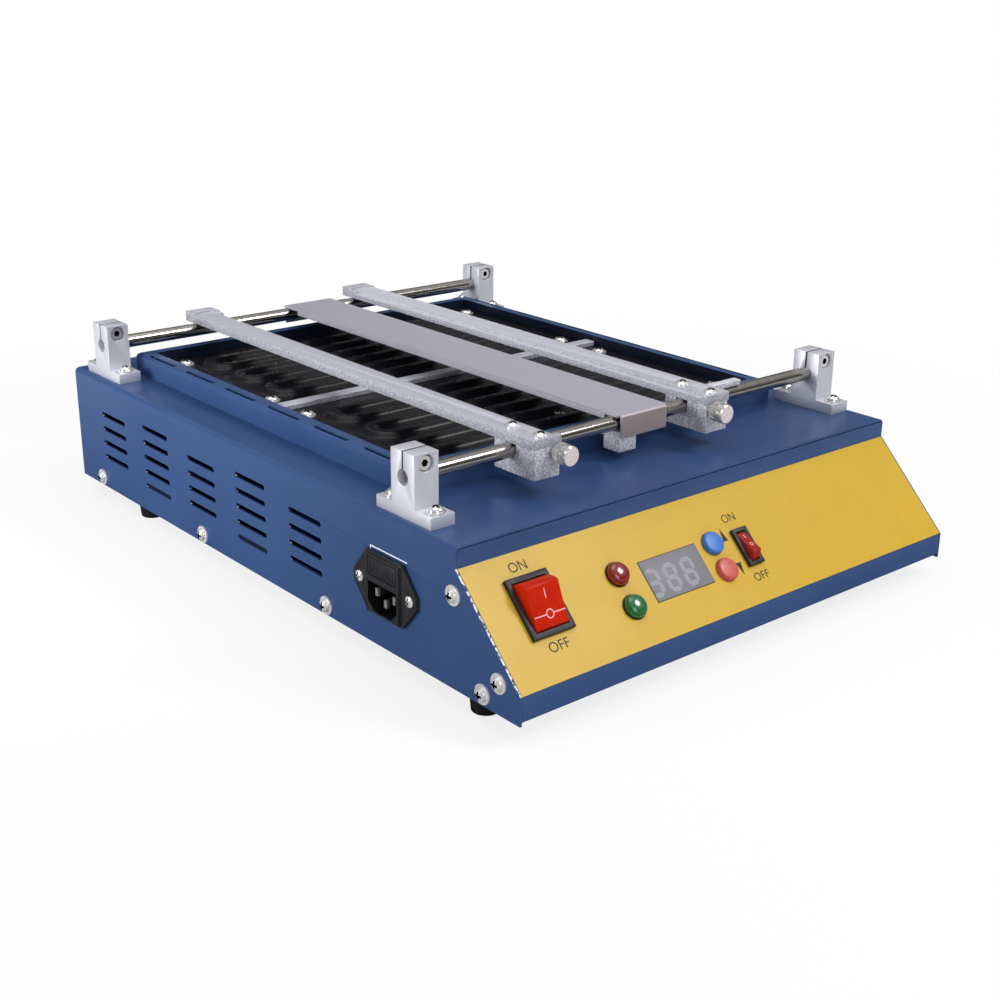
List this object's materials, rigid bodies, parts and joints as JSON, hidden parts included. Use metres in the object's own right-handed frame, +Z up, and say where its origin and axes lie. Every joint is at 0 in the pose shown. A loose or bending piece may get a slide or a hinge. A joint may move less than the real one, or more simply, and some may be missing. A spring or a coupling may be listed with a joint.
{
  "type": "pcb preheater",
  "caption": "Bench preheater for circuit boards: blue sheet metal case with a sloped control panel, black heater plates in a raised well and board clamps sliding on rods.",
  "frame": {"origin": "on the table under the middle of the object", "axes": "+X to the right seen from the controls, +Y to the back, +Z up; the control panel faces -Y"},
  "size_m": [0.3167, 0.4272, 0.1128],
  "materials": {
    "blue_paint": "satin powder coat",
    "gold_print": "satin printed sheet",
    "plain_steel": "zinc plated",
    "ceramic_wool": "fibrous",
    "black_enamel": "semi-gloss enamel",
    "alloy": "satin",
    "nickel_steel": "nickel plated",
    "polished_steel": "ground and polished",
    "stainless": "brushed",
    "black_plastic": "moulded",
    "red_plastic": "translucent gloss",
    "red_lens": "clear gloss",
    "green_lens": "clear gloss",
    "grey_plastic": "gloss",
    "blue_plastic": "gloss",
    "coral_plastic": "gloss",
    "green_board": "solder mask",
    "brass": "plain",
    "fuse_glass": "clear",
    "core_steel": "laminated",
    "coil_tape": "taped",
    "cream_plastic": "moulded",
    "rubber": "matte"
  },
  "bodies": {
    "case": {"top_cover": "blue_paint", "base_pan": "blue_paint", "front_panel": "blue_paint", "gold_fascia": "gold_print", "well_rim": "blue_paint", "heater_tray": "plain_steel", "insulation_blanket": "ceramic_wool", "rear_heater": "black_enamel", "front_heater": "black_enamel", "heater_divider": "alloy", "heater_screws": "nickel_steel", "heater_standoffs": "nickel_steel", "thermocouple_probe": "stainless", "front_left_support": "alloy", "front_right_support": "alloy", "rear_left_support": "alloy", "rear_right_support": "alloy", "support_screws": "nickel_steel", "support_nuts": "nickel_steel", "support_clamp_screws": "nickel_steel", "front_rod": "polished_steel", "rear_rod": "polished_steel", "power_switch_body": "black_plastic", "heat_switch_body": "black_plastic", "switch_terminals": "brass", "red_lamp": "red_lens", "green_lamp": "green_lens", "lamp_rings": "black_plastic", "display_module": "grey_plastic", "push_switches": "black_plastic", "control_board": "green_board", "board_pillars": "brass", "inlet_body": "black_plastic", "inlet_pins": "nickel_steel", "inlet_screws": "nickel_steel", "relay": "black_plastic", "transformer_core": "core_steel", "transformer_bobbin": "coil_tape", "terminal_strip": "cream_plastic", "earth_stud": "brass", "rubber_feet": "rubber", "foot_screws": "nickel_steel", "case_screws": "nickel_steel"},
    "left_bar": {"left_clamp_bar": "alloy", "left_guide_block": "alloy", "left_bar_screws": "nickel_steel"},
    "left_thumb": {"left_thumb_screw": "nickel_steel"},
    "right_bar": {"right_clamp_bar": "alloy", "right_guide_block": "alloy", "right_bar_screws": "nickel_steel", "right_steady_arm": "alloy"},
    "right_thumb": {"right_thumb_screw": "nickel_steel"},
    "centre_support": {"centre_channel": "stainless", "centre_hook_block": "alloy"},
    "power_rocker": {"power_rocker": "red_plastic"},
    "heat_rocker": {"heat_rocker": "red_plastic"},
    "up_button": {"up_button": "blue_plastic"},
    "down_button": {"down_button": "coral_plastic"},
    "fuse_holder": {"fuse_drawer": "black_plastic", "fuse": "fuse_glass"}
  },
  "joints": [
    {"name": "left_bar_slide", "type": "slide", "parent": "case", "child": "left_bar", "axis": [1, 0, 0], "range_m": [-0.046, 0.024]},
    {"name": "right_bar_slide", "type": "slide", "parent": "case", "child": "right_bar", "axis": [1, 0, 0], "range_m": [-0.007, 0.055]},
    {"name": "centre_slide", "type": "slide", "parent": "case", "child": "centre_support", "axis": [1, 0, 0], "range_m": [-0.024, 0.007]},
    {"name": "left_thumb_turn", "type": "hinge", "parent": "left_bar", "child": "left_thumb", "pos_m": [-0.073, -0.145, 0.1015], "axis": [0, 1, 0], "continuous": true},
    {"name": "right_thumb_turn", "type": "hinge", "parent": "right_bar", "child": "right_thumb", "pos_m": [0.037, -0.145, 0.1015], "axis": [0, 1, 0], "continuous": true},
    {"name": "power_rocker_tilt", "type": "hinge", "parent": "case", "child": "power_rocker", "pos_m": [-0.1227, -0.18773, 0.04988], "axis": [1, 0, 0], "range_deg": [-40, 0]},
    {"name": "heat_rocker_tilt", "type": "hinge", "parent": "case", "child": "heat_rocker", "pos_m": [0.0131, -0.19253, 0.04507], "axis": [1, 0, 0], "range_deg": [0, 40]},
    {"name": "up_press", "type": "slide", "parent": "case", "child": "up_button", "axis": [0, 0.7079, -0.7063], "range_m": [0, 0.001], "stiffness_N_per_m": 400},
    {"name": "down_press", "type": "slide", "parent": "case", "child": "down_button", "axis": [0, 0.7079, -0.7063], "range_m": [0, 0.001], "stiffness_N_per_m": 400},
    {"name": "fuse_drawer_slide", "type": "slide", "parent": "case", "child": "fuse_holder", "axis": [-1, 0, 0], "range_m": [0, 0.014]}
  ]
}
